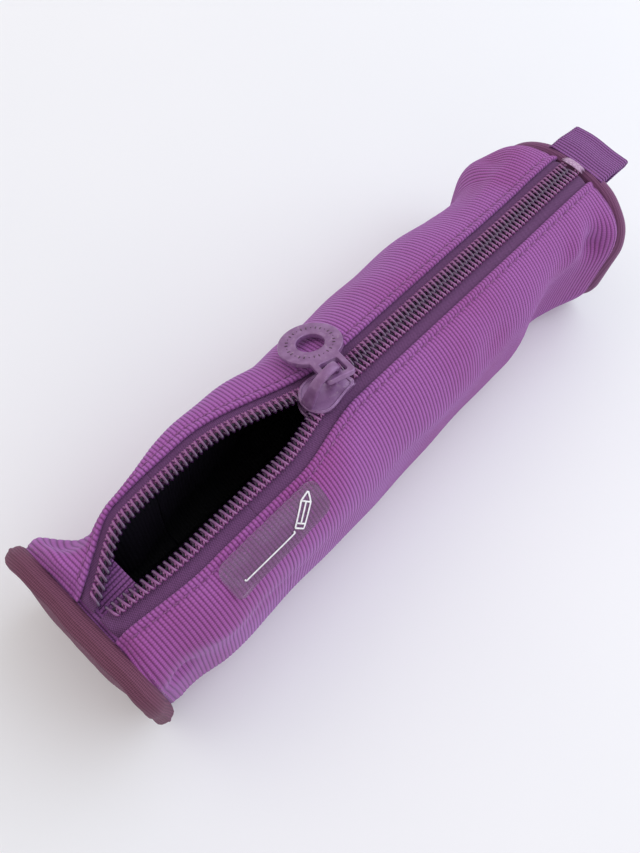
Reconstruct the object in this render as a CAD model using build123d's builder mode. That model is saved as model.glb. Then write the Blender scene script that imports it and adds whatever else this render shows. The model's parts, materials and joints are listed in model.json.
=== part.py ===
from build123d import *
import os
from math import cos, radians, sin, sqrt

# A slim zipped pencil case: one wrap of ribbed cloth and its lining, closed by an end panel at
# each end, with a coil zip along the top. Millimetres. X runs along the zip from its near end to
# the hanging loop, Y to the left lip of the mouth, Z up. The origin is in the middle of the base.

# Case
near_face = -95.0
far_face = 93.0
near_seam = -91.0
far_seam = 89.0
body_width = 48.0
body_height = 50.0
top_radius = 21.0
base_radius = 14.0
cloth = 1.0
lining = 0.5
layer_gap = 0.1
panel_thickness = 1.2
rim_round = 1.1

# Zip: a nylon coil chain of 1.5 mm pitch, open from its near end to the slider
coil_pitch = 1.5
coil_turns = 116
coil_start = -87.0
coil_wire = 0.7
coil_length = 3.8
coil_height = 1.8
coil_centre = 1.3
core_radius = 0.22
link_wall = (0.7, 0.5)
tape_thickness = 0.6
tape_reach = 16.0
tape_clearance = 0.3
tape_edge = 0.5
tape_near = -90.0
tape_far = 88.5
left_fold = 4.1
right_fold = 5.2
slot_near = -88.0
slot_far = 87.0

# Mouth: how far each lip bows out, and where it starts, peaks and ends
left_bow = 9.4
left_bow_span = (-90.0, -77.0, -62.0, -13.0)
right_bow = 4.3
right_bow_span = (-90.0, -48.0, -40.0, -13.0)

# Slider
slider_nose = -24.0
slider_rear = -10.0
slider_half_width = 4.9
slider_rear_half_width = 4.1
slider_rear_length = 3.2
slider_corner = 1.0
top_plate_base = 50.95
top_plate_thickness = 1.0
top_plate_ease = 0.3
bottom_plate_top = 48.1
bottom_plate_thickness = 0.9
bottom_plate_ease = 0.2
plate_overlap = 0.1
post_offset = 0.75
post_size = (0.9, 0.6)
flange_size = (6.0, 0.5)
flange_depth = 1.3

# Slider bridge: a strap from the nose up over the plate, down to a leg near the rear
bridge_width = 2.4
bridge_top = 61.5
bridge_round = 0.6
bridge_leg_x = -14.0
bridge_leg_half = 0.8
bridge_foot = 0.6
bridge_foot_length = 2.0
bridge_lean = 0.6
bridge_lean_z = 55.0
bridge_shoulder_x = -20.4
bridge_shoulder_drop = 1.0
bridge_crest_x = -17.0
bridge_strap = 1.4

# Pull tab: a flat ring on a windowed neck, lying over the left shoulder
tab_pivot = (bridge_leg_x, 0.0, 57.5)
tab_yaw = 17.0
tab_slope = 25.0
tab_thickness = 1.5
ring_radius = 8.2
ring_hole_radius = 3.6
ring_distance = 12.4
window_back = -1.9
window_front = 3.5
window_half_width = 2.5
neck_rim = 1.5

# Hanging loop: folded webbing, sewn into the far seam
webbing = 1.0
loop_width = 19.0
loop_root = (95.0, 0.0, 47.2)
loop_tip_x = 106.0
loop_bend = 1.7

# Trim
guard_near = -88.2
guard_far = -77.0
guard_half_length = 13.0
guard_top = 45.5
guard_thickness = 0.8
label_length = 31.0
label_near = -66.0
label_edges = (-12.4, -21.0)
label_corner = 2.2
label_lift = 0.05
label_thickness = 0.4
ink_lift = 0.02
ink_thickness = 0.1
name_line_size = (16.0, 0.5)
name_line_offset = (-4.0, -1.6)
pencil_outer = (7.0, 1.8)
pencil_inner = (5.6, 0.7)
pencil_offset = 9.0
pencil_turn = 35.0
binding_width = 4.5
binding_thickness = 1.1
binding_inset = 2.1

# Stitches
stitch = 0.35
coil_stitch_length = 1.1
coil_stitch_offset = 0.7
coil_stitch_sink = 0.3
topstitch_length = 2.2
topstitch_spacing = 3.0
topstitch_count = 57
topstitch_inset = 0.8
seam_stitch_length = 2.0
seam_stitch_spacing = 3.0
seam_stitch_lift = 0.05
near_stitch_offset = 1.5
far_stitch_offset = 1.2
tack_length = 8.0
tack_spacing = 0.45
tack_count = 4
tack_offset = 0.4
tack_lift = 0.25

shoulder_y = body_width / 2 - top_radius
shoulder_z = body_height - top_radius


def smooth(value):
    t = min(max(value, 0.0), 1.0)
    return t * t * (3 - 2 * t)


def bow(x, span):
    """Share of a lip's full bow at x, from its start up to its peaks and back to its end."""
    rise = smooth((x - span[0]) / (span[1] - span[0]))
    fall = 1 - smooth((x - span[2]) / (span[3] - span[2]))
    return rise * fall


def coil_y(side, x):
    """Distance of a coil's centre from the middle of the zip, positive to the left (side 1)."""
    if side > 0:
        return coil_centre + left_bow * bow(x, left_bow_span)
    return -coil_centre - right_bow * bow(x, right_bow_span)


def top_z(y):
    """Height of the case's upper surface at y."""
    reach = max(abs(y) - shoulder_y, 0.0)
    return shoulder_z + sqrt(top_radius**2 - reach**2)


def lip_points(side, outward, start, stop, steps=36):
    """Points along a lip in plan, moved outward from the coil's centre."""
    stations = [start + (stop - start) * i / steps for i in range(steps + 1)]
    return [(x, coil_y(side, x) + side * outward) for x in stations]


def case_section(x, inset):
    """The case's cross-section at x, drawn inset by that much from the outside of the cloth."""
    with BuildSketch(Plane.YZ.offset(x)) as section:
        with Locations((0, body_height / 2)):
            Rectangle(body_width - 2 * inset, body_height - 2 * inset)
        fillet(section.vertices().group_by(Axis.Y)[0], base_radius - inset)
        fillet(section.vertices().group_by(Axis.Y)[-1], top_radius - inset)
    return section.sketch


def layer(start, stop, outer, inner):
    """A tube of the case's section between two insets."""
    with BuildPart() as tube:
        extrude(case_section(start, outer), amount=stop - start)
        extrude(case_section(start, inner), amount=stop - start, mode=Mode.SUBTRACT)
    return tube.part


def top_cutter(points, z_low=30.0, z_high=70.0):
    """An upright prism over a closed outline in plan."""
    with BuildPart() as prism:
        with BuildSketch(Plane.XY.offset(z_low)):
            with BuildLine():
                Polyline(*points, close=True)
            make_face()
        extrude(amount=z_high - z_low)
    return prism.part


def finish(builder, name):
    builder.part.label = name
    export_step(builder.part, f"parts/{name}.step")


os.makedirs("parts", exist_ok=True)

# Outer cloth: one wrap from fold edge to fold edge
mouth_outline = lip_points(1, left_fold, slot_near, slot_far)
mouth_outline += reversed(lip_points(-1, right_fold, slot_near, slot_far))
with BuildPart() as body_panel:
    add(layer(near_seam, far_seam, 0, cloth))
    add(top_cutter(mouth_outline), mode=Mode.SUBTRACT)
finish(body_panel, "body_panel")

# Lining: the same wrap, cut back to the outer edges of the zip tapes
lining_outer = cloth + layer_gap
lining_inner = lining_outer + lining
with BuildPart() as body_lining:
    add(layer(near_face + panel_thickness + layer_gap, far_face - panel_thickness - layer_gap,
              lining_outer, lining_inner))
    with BuildSketch(Plane.XY.offset(shoulder_z)):
        with Locations(((tape_near + tape_far) / 2, 0)):
            Rectangle(tape_far - tape_near + 2 * tape_clearance, 2 * (tape_reach + tape_clearance))
    extrude(amount=body_height, mode=Mode.SUBTRACT)
finish(body_lining, "body_lining")


# End panels: a flat panel with a padded rim that meets the wrap at the seam
def end_panel(face, seam):
    inward = 1 if seam > face else -1
    with BuildPart() as panel:
        extrude(case_section(face, 0), amount=seam - face)
        fillet(panel.edges().group_by(Axis.X)[0 if inward > 0 else -1], rim_round)
        extrude(case_section(face + inward * panel_thickness, cloth), amount=seam - face,
                mode=Mode.SUBTRACT)
    return panel


near_end_panel = end_panel(near_face, near_seam)
finish(near_end_panel, "near_end_panel")
far_end_panel = end_panel(far_face, far_seam)
finish(far_end_panel, "far_end_panel")


def end_lining(face, inward):
    with BuildPart() as plate:
        start = face + inward * (panel_thickness + layer_gap)
        extrude(case_section(start, lining_inner + layer_gap), amount=inward * lining)
    return plate


near_end_lining = end_lining(near_face, 1)
finish(near_end_lining, "near_end_lining")
far_end_lining = end_lining(far_face, -1)
finish(far_end_lining, "far_end_lining")


# Seam bindings: tape folded over the seam allowance inside each end
def seam_binding(start):
    with BuildPart() as ring:
        outer = lining_inner + layer_gap
        add(layer(start, start + binding_width, outer, outer + binding_thickness))
    return ring


near_seam_binding = seam_binding(near_face + binding_inset)
finish(near_seam_binding, "near_seam_binding")
far_seam_binding = seam_binding(far_face - binding_inset - binding_width)
finish(far_seam_binding, "far_seam_binding")


# Zip tapes: bands under the fold edges that follow the section
def zip_tape(side):
    outline = lip_points(side, -tape_edge, tape_near, tape_far)
    outline += [(tape_far, side * tape_reach), (tape_near, side * tape_reach)]
    with BuildPart() as tape:
        add(layer(tape_near, tape_far, lining_outer, lining_outer + tape_thickness))
        add(top_cutter(outline), mode=Mode.INTERSECT)
    return tape


left_zip_tape = zip_tape(1)
finish(left_zip_tape, "left_zip_tape")
right_zip_tape = zip_tape(-1)
finish(right_zip_tape, "right_zip_tape")

# Zip coils: the turns of each coil as separate links that interlock half a pitch apart
with BuildPart() as link:
    with BuildSketch(Plane.YZ.offset(-coil_wire / 2)):
        SlotOverall(coil_length, coil_height)
        SlotOverall(coil_length - 2 * link_wall[0], coil_height - 2 * link_wall[1],
                    mode=Mode.SUBTRACT)
    extrude(amount=coil_wire)


def coil_x(side, turn):
    return coil_start + coil_pitch * turn + (0 if side > 0 else coil_pitch / 2)


def core_station(side, turn):
    """The centre of one turn of a coil, where its core passes."""
    x = coil_x(side, turn)
    y = coil_y(side, x)
    seat = top_z(abs(y) - coil_length / 2) - lining_outer
    return Vector(x, y, seat + coil_height / 2)


def zip_coil(side):
    places = [core_station(side, turn) for turn in range(coil_turns)]
    with BuildPart() as coil:
        add([link.part.moved(Location(place)) for place in places], clean=False)
    return coil


left_zip_coil = zip_coil(1)
finish(left_zip_coil, "left_zip_coil")
right_zip_coil = zip_coil(-1)
finish(right_zip_coil, "right_zip_coil")


# Coil cores: the cord that runs inside each coil, as short lengths from turn to turn
def coil_core(side):
    step = 2
    stations = [core_station(side, turn) for turn in range(0, coil_turns, step)]
    lengths = []
    for start, end in zip(stations, stations[1:]):
        with BuildPart() as length:
            with BuildSketch(Plane(origin=start, z_dir=end - start)):
                Circle(core_radius)
            extrude(amount=(end - start).length)
        lengths.append(length.part)
    with BuildPart() as core:
        add(lengths)
    return core


left_coil_core = coil_core(1)
finish(left_coil_core, "left_coil_core")
right_coil_core = coil_core(-1)
finish(right_coil_core, "right_coil_core")


# Stitching: one thread between each pair of coil turns, and a row of stitches along each fold
def coil_stitching(side):
    seat = Vector(coil_pitch / 2, side * coil_stitch_offset, coil_height / 2 - coil_stitch_sink)
    with BuildPart() as thread:
        Box(stitch, coil_stitch_length, stitch)
    places = [Location(core_station(side, turn) + seat) for turn in range(coil_turns - 1)]
    with BuildPart() as row:
        add([thread.part.moved(place) for place in places], clean=False)
    return row


def topstitch(side, fold):
    with BuildPart() as bar:
        Box(topstitch_length, stitch, stitch)
        fillet(bar.edges().filter_by(Axis.X), stitch * 0.3)
    stations = [slot_near + topstitch_spacing * (i + 1) for i in range(topstitch_count)]
    lines = [(x, coil_y(side, x) + side * (fold + topstitch_inset)) for x in stations]
    places = [Location((x, y, top_z(abs(y) - stitch) + stitch)) for x, y in lines]
    with BuildPart() as row:
        add([bar.part.moved(place) for place in places], clean=False)
    return row


left_coil_stitching = coil_stitching(1)
finish(left_coil_stitching, "left_coil_stitching")
right_coil_stitching = coil_stitching(-1)
finish(right_coil_stitching, "right_coil_stitching")
left_topstitch = topstitch(1, left_fold)
finish(left_topstitch, "left_topstitch")
right_topstitch = topstitch(-1, right_fold)
finish(right_topstitch, "right_topstitch")

# Near zip guard: a strip of webbing across the inside, under the near end of the zip
with BuildPart() as near_zip_guard:
    with BuildSketch(Plane.XY.offset(guard_top - guard_thickness)):
        with Locations(((guard_near + guard_far) / 2, 0)):
            Rectangle(guard_far - guard_near, 2 * guard_half_length)
    extrude(amount=guard_thickness)
finish(near_zip_guard, "near_zip_guard")


# Clear label on the right shoulder, and the print on it
def shoulder_patch(outline, low, high):
    with BuildPart() as patch:
        add(layer(near_seam, far_seam, -high, -low))
        add(outline, mode=Mode.INTERSECT)
    return patch


label_width = label_edges[0] - label_edges[1]
label_middle = (label_near + label_length / 2, sum(label_edges) / 2)
with BuildPart() as label_prism:
    with BuildSketch(Plane.XY.offset(shoulder_z)):
        with Locations(label_middle):
            RectangleRounded(label_length, label_width, label_corner)
    extrude(amount=body_height)
label_top = label_lift + label_thickness
clear_label = shoulder_patch(label_prism.part, label_lift, label_top)
finish(clear_label, "clear_label")

with BuildPart() as print_prism:
    with BuildSketch(Plane.XY.offset(shoulder_z)):
        with Locations((label_middle[0] + name_line_offset[0], label_middle[1] + name_line_offset[1])):
            Rectangle(name_line_size[0], name_line_size[1])
        with Locations((label_middle[0] + pencil_offset, label_middle[1])):
            Rectangle(pencil_outer[0], pencil_outer[1], rotation=pencil_turn)
            Rectangle(pencil_inner[0], pencil_inner[1], rotation=pencil_turn, mode=Mode.SUBTRACT)
    extrude(amount=body_height)
ink_base = label_top + ink_lift
label_print = shoulder_patch(print_prism.part, ink_base, ink_base + ink_thickness)
finish(label_print, "label_print")

# Slider: two plates joined by a post between the coils, with flanges and the bridge on top
front_x = slider_nose + slider_half_width
waist_x = slider_rear - slider_rear_length


def slider_plate(base, thickness, edge):
    """A heart-shaped plate with its upper and lower rims eased."""
    with BuildPart() as plate:
        with BuildSketch(Plane.XY.offset(base)) as outline:
            with BuildLine():
                ThreePointArc((front_x, -slider_half_width), (slider_nose, 0),
                              (front_x, slider_half_width))
                Polyline((front_x, slider_half_width), (waist_x, slider_rear_half_width),
                         (slider_rear, slider_rear_half_width),
                         (slider_rear, -slider_rear_half_width),
                         (waist_x, -slider_rear_half_width), (front_x, -slider_half_width))
            make_face()
            fillet(outline.vertices().group_by(Axis.X)[-1], slider_corner)
        extrude(amount=thickness)
        fillet(plate.faces().sort_by(Axis.Z)[-1].edges(), edge)
    return plate.part


with BuildPart() as slider_body:
    add(slider_plate(top_plate_base, top_plate_thickness, top_plate_ease))
    add(slider_plate(bottom_plate_top - bottom_plate_thickness, bottom_plate_thickness,
                     bottom_plate_ease))
    with BuildSketch(Plane.XY.offset(bottom_plate_top)):
        with Locations((slider_nose + post_offset, 0)):
            Rectangle(post_size[0], post_size[1])
    extrude(amount=top_plate_base - bottom_plate_top + plate_overlap)
    with BuildSketch(Plane.XY.offset(top_plate_base - flange_depth)):
        for side in (1, -1):
            flange_y = side * (slider_rear_half_width - flange_size[1] / 2)
            with Locations((slider_rear - flange_size[0] / 2, flange_y)):
                Rectangle(flange_size[0], flange_size[1])
    extrude(amount=flange_depth + plate_overlap)
    with BuildSketch(Plane.XZ.offset(-bridge_width / 2)) as bridge_profile:
        plate_top = top_plate_base + top_plate_thickness - 2 * plate_overlap
        foot_x = slider_nose + bridge_foot
        inner_foot_x = foot_x + bridge_foot_length
        leg_rear_x = bridge_leg_x + bridge_leg_half
        leg_front_x = bridge_leg_x - bridge_leg_half
        shoulder_top = bridge_top - bridge_shoulder_drop
        with BuildLine():
            Polyline((foot_x, plate_top), (foot_x + bridge_lean, bridge_lean_z),
                     (bridge_shoulder_x, shoulder_top), (bridge_crest_x, bridge_top),
                     (leg_rear_x, bridge_top), (leg_rear_x, plate_top),
                     (leg_front_x, plate_top), (leg_front_x, bridge_top - bridge_strap),
                     (bridge_crest_x - 0.2, bridge_top - bridge_strap - 0.1),
                     (bridge_shoulder_x + 0.8, shoulder_top - 1.2),
                     (inner_foot_x + 0.1, bridge_lean_z - 0.6), (inner_foot_x, plate_top),
                     close=True)
        make_face()
        fillet(bridge_profile.vertices().filter_by(lambda v: v.Y > plate_top + plate_overlap),
               bridge_round)
    extrude(amount=bridge_width)
finish(slider_body, "slider_body")

# Pull tab
yaw = radians(tab_yaw)
slope = radians(tab_slope)
tab_along = (sin(yaw) * cos(slope), cos(yaw) * cos(slope), -sin(slope))
tab_normal = (sin(yaw) * sin(slope), cos(yaw) * sin(slope), cos(slope))
tab_plane = Plane(origin=tab_pivot, x_dir=tab_along, z_dir=tab_normal)
with BuildPart() as pull_tab:
    with BuildSketch(tab_plane.offset(-tab_thickness / 2)):
        with Locations((ring_distance, 0)):
            Circle(ring_radius)
        with Locations(((window_back - neck_rim + ring_distance) / 2, 0)):
            Rectangle(ring_distance - window_back + neck_rim, 2 * (window_half_width + neck_rim))
        with Locations(((window_back + window_front) / 2, 0)):
            Rectangle(window_front - window_back, 2 * window_half_width, mode=Mode.SUBTRACT)
        with Locations((ring_distance, 0)):
            Circle(ring_hole_radius, mode=Mode.SUBTRACT)
    extrude(amount=tab_thickness)
finish(pull_tab, "pull_tab")

# Hanging loop: webbing folded in two, rounded at its root
with BuildPart() as webbing_loop:
    with BuildSketch(Plane.XZ.offset(-loop_width / 2)):
        with Locations(((loop_root[0] + loop_tip_x) / 2 - loop_bend / 2, loop_root[2])):
            SlotOverall(loop_tip_x - loop_root[0] + loop_bend, 2 * loop_bend)
            SlotOverall(loop_tip_x - loop_root[0] + loop_bend - 2 * webbing,
                        2 * (loop_bend - webbing), mode=Mode.SUBTRACT)
    extrude(amount=loop_width)
finish(webbing_loop, "webbing_loop")

# Bar tack: close threads over the far ends of the coils
with BuildPart() as tack_thread:
    Box(stitch, tack_length, stitch)
tack_places = [Location((slot_far + tack_offset + tack_spacing * i, 0, body_height + tack_lift))
               for i in range(tack_count)]
with BuildPart() as loop_bar_tack:
    add([tack_thread.part.moved(place) for place in tack_places])
finish(loop_bar_tack, "loop_bar_tack")


# Seam stitching: stitches round the wrap beside each end seam
def seam_stitching(x):
    wire = case_section(x, 0).faces()[0].outer_wire()
    count = int(wire.length / seam_stitch_spacing)
    with BuildPart() as thread:
        Box(stitch, seam_stitch_length, stitch)
    seats = []
    for i in range(count):
        point = wire.position_at((i + 0.5) / count)
        outward = wire.tangent_at((i + 0.5) / count).cross(Vector(1, 0, 0))
        if outward.dot(Vector(0, point.Y, point.Z - body_height / 2)) < 0:
            outward = outward * -1
        on_top = abs(point.Y) < tape_reach and point.Z > shoulder_z
        if point.Z > 2 * stitch and not on_top:
            seat = point + outward * (stitch / 2 + seam_stitch_lift)
            seats.append(Plane(origin=seat, x_dir=(1, 0, 0), z_dir=outward))
    with BuildPart() as ring:
        add([thread.part.moved(Location(seat)) for seat in seats], clean=False)
    return ring


near_seam_stitching = seam_stitching(near_seam + near_stitch_offset)
finish(near_seam_stitching, "near_seam_stitching")
far_seam_stitching = seam_stitching(far_seam - far_stitch_offset)
finish(far_seam_stitching, "far_seam_stitching")
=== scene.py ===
import json
import math

import bpy
import numpy as np
from mathutils import Matrix, Vector


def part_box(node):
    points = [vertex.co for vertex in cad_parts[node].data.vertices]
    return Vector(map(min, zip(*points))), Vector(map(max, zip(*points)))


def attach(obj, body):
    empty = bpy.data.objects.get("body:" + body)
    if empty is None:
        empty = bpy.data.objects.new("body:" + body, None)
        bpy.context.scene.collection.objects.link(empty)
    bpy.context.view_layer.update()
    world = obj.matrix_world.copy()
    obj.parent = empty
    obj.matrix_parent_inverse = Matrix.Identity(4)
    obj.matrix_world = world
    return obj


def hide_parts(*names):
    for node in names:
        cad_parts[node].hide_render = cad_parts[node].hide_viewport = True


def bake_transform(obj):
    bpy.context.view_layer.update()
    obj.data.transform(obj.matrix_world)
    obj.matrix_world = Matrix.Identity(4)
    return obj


# A slim zipped pencil case in ribbed cloth. Sizes are in millimetres until a mesh is made, in the
# frame's own axes: X along the zip, Y to the left lip of the mouth, Z up.

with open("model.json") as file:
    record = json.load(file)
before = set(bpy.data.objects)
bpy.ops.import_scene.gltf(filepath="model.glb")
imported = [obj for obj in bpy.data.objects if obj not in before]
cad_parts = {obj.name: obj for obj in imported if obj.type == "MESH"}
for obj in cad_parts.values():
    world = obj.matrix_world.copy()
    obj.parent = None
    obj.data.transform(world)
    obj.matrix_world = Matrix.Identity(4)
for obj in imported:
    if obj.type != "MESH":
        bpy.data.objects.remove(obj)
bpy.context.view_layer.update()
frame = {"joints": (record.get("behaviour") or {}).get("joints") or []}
MM = 0.001
LEFT, RIGHT = 1, -1
SIDE_NAME = {LEFT: "left", RIGHT: "right"}


def node_box(name):
    low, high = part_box(name)
    return np.array(low) / MM, np.array(high) / MM


panel_low, panel_high = node_box("body_panel")
NEAR_SEAM, FAR_SEAM = panel_low[0], panel_high[0]
slider_low, slider_high = node_box("slider_body")
HINGES = {j["name"]: np.array(j["pos_m"]) / MM for j in frame["joints"] if "pos_m" in j}
HINGE_Y = HINGES["left_lip_swing"][1]

# Cloth
RIB = 1.075
RIB_SAMPLES = 6
RIB_HEIGHT = 0.06
BEAD = 0.8
CLOTH = 1.0
FOLD_RADIUS = 0.8
LINING_START, LINING_ROWS = 9.0, 50
BASE_ROWS = 26

# Zip
COIL_PITCH = 1.5
COIL_TURNS = 116
COIL_START = -87.0
COIL_CENTRE = 1.3
COIL_LENGTH = 3.8
COIL_HEIGHT = 1.9
WIRE = 0.36
FOLD = {LEFT: 5.4, RIGHT: 6.5}
GUARD_LEFT_END = 8.0  # further left, its corner shows through the wall when the zip is closed

# The mouth: each lip bows out between its stations
BOW = {LEFT: 9.4, RIGHT: 4.3}
BOW_SPAN = {LEFT: (-93.0, -71.0, -50.0, -9.0), RIGHT: (-93.0, -64.0, -38.0, -12.0)}
SPLIT = {LEFT: -61.0, RIGHT: -50.0}

# Section
BASE_ROUND = 14.0
NOMINAL_ARC = 78.0
PLAIN_ARC = 12.0


def smooth(value):
    t = np.clip(value, 0.0, 1.0)
    return t * t * (3 - 2 * t)


def unit(vectors):
    return vectors / np.linalg.norm(vectors, axis=-1, keepdims=True)


def run_along(points):
    """The distance of each point along a line of points."""
    return np.concatenate([[0], np.cumsum(np.linalg.norm(np.diff(points, axis=0), axis=1))])


def surface_normal(grid, side):
    return unit(np.cross(np.gradient(grid, axis=0), np.gradient(grid, axis=1)) * side)


def track(x, points):
    """A smooth curve through a few (x, value) points, level beyond its ends."""
    px, py = np.array(points, float).T
    slope = np.gradient(py, px)
    slope[[0, -1]] = 0
    i = np.clip(np.searchsorted(px, x) - 1, 0, len(px) - 2)
    step = px[i + 1] - px[i]
    t = np.clip((x - px[i]) / step, 0, 1)
    rise = t * t * (3 - 2 * t)
    return (py[i] + (py[i + 1] - py[i]) * rise + slope[i] * step * t * (1 - t) ** 2
            - slope[i + 1] * step * t * t * (1 - t))


def crown(x):
    """Height of the top of the case, lower at its near end."""
    return track(x, [(-97, 44.6), (-90, 45.6), (-82, 47.6), (-72, 49.3), (-58, 50.1),
                     (60, 50.1), (86, 49.9), (95, 48.6)])


def half_width(x, side):
    if side == LEFT:
        return track(x, [(-97, 27.3), (-92, 27.3), (-88, 25.8), (-84, 21.4), (-80, 17.2),
                         (-74, 15.0), (-66, 16.0), (-54, 18.8), (-38, 19.8), (-24, 22.2),
                         (-12, 24.6), (0, 24.2), (20, 24.6), (40, 24.2), (50, 22.4), (58, 20.8),
                         (67, 21.8), (76, 27.0), (83, 26.6), (89, 23.4), (95, 23.2)])
    return track(x, [(-97, 24.4), (-92, 23.8), (-87, 21.6), (-83, 21.4), (-73, 23.4), (-58, 23.4),
                     (-40, 23.2), (0, 22.4), (28, 21.0), (40, 20.9), (51, 20.4), (60, 18.0),
                     (69, 16.6), (78, 19.2), (88, 24.0), (95, 24.2)])


def top_round(x):
    return track(x, [(-97, 12.0), (-88, 14.0), (-70, 19.0), (-50, 21.0), (60, 20.0), (86, 20.5),
                     (95, 19.5)])


def zip_shift(x):
    """The near end of the zip lies a little to the right."""
    return -1.3 * (1 - smooth((x + 86) / 26))


def bow_share(x, side):
    start, full, fading, end = BOW_SPAN[side]
    return smooth((x - start) / (full - start)) * (1 - smooth((x - fading) / (end - fading)))


def bow_fade(x, side):
    """Where round the section a lip's bow begins to fade, and over what arc: the left lip's wall
    turns straight down beside the near part of the mouth."""
    if side == LEFT:
        return (track(x, [(-70, 5.4), (-40, 8.0)]),
                track(x, [(-86, 12.5), (-66, 13.5), (-54, 19.0), (-38, 26.0), (-20, 32.0)]))
    return 8.0, 32.0


def section(x, side, arc):
    """y and z at these arc lengths from the middle of the zip, down one side to the hinge line."""
    width, top, upper = half_width(x, side), crown(x), top_round(x)
    upper = min(upper, width - 2.5)
    lower = min(BASE_ROUND, width - HINGE_Y)
    turn = np.linspace(0, math.pi / 2, 25)
    y = np.concatenate([[0.0], width - upper + upper * np.sin(turn),
                        width - lower + lower * np.cos(turn), [HINGE_Y]])
    z = np.concatenate([[top], top - upper + upper * np.cos(turn),
                        lower - lower * np.sin(turn), [0.0]])
    run = np.concatenate([[0.0], np.cumsum(np.hypot(np.diff(y), np.diff(z)))])
    real = np.where(arc < PLAIN_ARC, arc,
                    PLAIN_ARC + (arc - PLAIN_ARC) * (run[-1] - PLAIN_ARC)
                    / (NOMINAL_ARC - PLAIN_ARC))
    return np.interp(real, run, y), np.interp(real, run, z)


# Slow unevenness of the cloth: a sum of a few long waves, and the folds that the case has
waves = np.random.default_rng(7)
WAVES = [(waves.uniform(-1, 1) * 2 * math.pi / waves.uniform(17, 60),
          waves.uniform(-1, 1) * 2 * math.pi / waves.uniform(22, 70),
          waves.uniform(0, 2 * math.pi)) for _ in range(14)]

# Each fold: side, x, arc, length, width, angle from X in degrees, height (negative is a hollow)
FOLDS = [
    (RIGHT, 80.0, 27.0, 15.0, 3.6, 82, -3.4),
    (RIGHT, 71.0, 22.0, 20.0, 4.2, 118, 1.5),
    (RIGHT, 57.0, 34.0, 14.0, 5.0, 120, -1.3),
    (RIGHT, 86.0, 24.0, 14.0, 2.6, 88, 1.0),
    (RIGHT, -84.0, 34.0, 9.0, 3.4, 70, -2.2),
    (RIGHT, -74.0, 26.0, 16.0, 4.0, 35, 0.9),
    (RIGHT, -60.0, 36.0, 20.0, 4.5, 20, -0.9),
    (RIGHT, 8.0, 32.0, 26.0, 6.0, 12, 0.7),
    (RIGHT, 30.0, 24.0, 22.0, 5.0, 160, -0.7),
    (LEFT, 78.0, 22.0, 16.0, 4.0, 60, -2.2),
    (LEFT, 66.0, 14.0, 18.0, 3.0, 10, 0.9),
    (LEFT, -84.0, 22.0, 12.0, 3.0, 90, -2.2),
    (LEFT, -88.0, 16.0, 9.0, 2.0, 90, 1.4),
    (LEFT, -30.0, 18.0, 24.0, 5.0, 170, 0.8),
    (LEFT, 20.0, 26.0, 26.0, 6.0, 10, -0.7),
]


def unevenness(x, side, arc):
    """How far the cloth stands out from its plain section, in all its layers alike."""
    height = np.zeros(np.broadcast(x, arc).shape)
    for kx, ks, phase in WAVES:
        height = height + np.sin(kx * x + ks * arc * side + phase)
    height = height * 0.13 * smooth((arc - 4) / 12)
    for fold_side, fx, fs, length, width, angle, depth in FOLDS:
        if fold_side == side:
            slant = math.radians(angle)
            along = (x - fx) * math.cos(slant) + (arc - fs) * math.sin(slant)
            across = -(x - fx) * math.sin(slant) + (arc - fs) * math.cos(slant)
            height = height + depth * np.exp(-(along / length * 2) ** 2 - (across / width) ** 2)
    return height * smooth((arc - 3) / 9) * (1 - smooth((arc - 50) / 20))


def seam_dip(x):
    """Both ends of the wrap roll down into their seams."""
    near = 1 - smooth((x - NEAR_SEAM) / 4.0)
    far = 1 - smooth((FAR_SEAM - x) / 2.6)
    return -1.9 * near - 1.1 * far


def shell(xs, side, arcs, rises, ribs=0.0):
    """A grid of points over one half of the case. Arcs and rises say where each row lies and how
    far it stands out from the plain surface, and ribs how much of the cloth's ribbing it shows."""
    fine = np.linspace(0, NOMINAL_ARC, 241)
    place = np.empty((len(xs), len(fine), 3))
    for i, x in enumerate(xs):
        y, z = section(x, side, fine)
        begin, reach = bow_fade(x, side)
        lift = BOW[side] * bow_share(x, side) * (1 - smooth((fine - begin) / reach))
        shift = zip_shift(x) * (1 - smooth((fine - 8) / 24))
        place[i, :, 0], place[i, :, 1], place[i, :, 2] = x, side * (y + lift) + shift, z
    normal = surface_normal(place, side)
    arcs, rises, ribs = (np.broadcast_to(values, np.shape(arcs)).astype(float)
                         for values in (arcs, rises, ribs))
    i = np.clip(np.searchsorted(fine, arcs) - 1, 0, len(fine) - 2)
    t = ((arcs - fine[i]) / (fine[i + 1] - fine[i]))[None, :, None]
    place = place[:, i] * (1 - t) + place[:, i + 1] * t
    normal = normal[:, i] * (1 - t) + normal[:, i + 1] * t
    x = np.asarray(xs)[:, None]
    rib = np.sqrt(np.abs(np.sin(np.pi * (x - NEAR_SEAM) / RIB))) - 0.5
    height = rises + unevenness(x, side, arcs) + ribs * RIB_HEIGHT * 2 * rib
    height = height + seam_dip(x) * smooth((arcs - 3) / 4)
    place = place + normal * height[:, :, None]
    place[:, :, 2] = np.maximum(place[:, :, 2], 0.02 + 0.3 * (rises < -0.3))
    return place


def stations(start, end, step):
    """Even stations along X that keep to a rib's samples, so that pieces meet between ribs."""
    first = math.ceil((start - NEAR_SEAM) / step - 1e-6)
    last = math.floor((end - NEAR_SEAM) / step + 1e-6)
    return NEAR_SEAM + step * np.arange(first, last + 1)


def valley(x):
    return NEAR_SEAM + RIB * round((x - NEAR_SEAM) / RIB)


# ---------------------------------------------------------------- meshes

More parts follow.
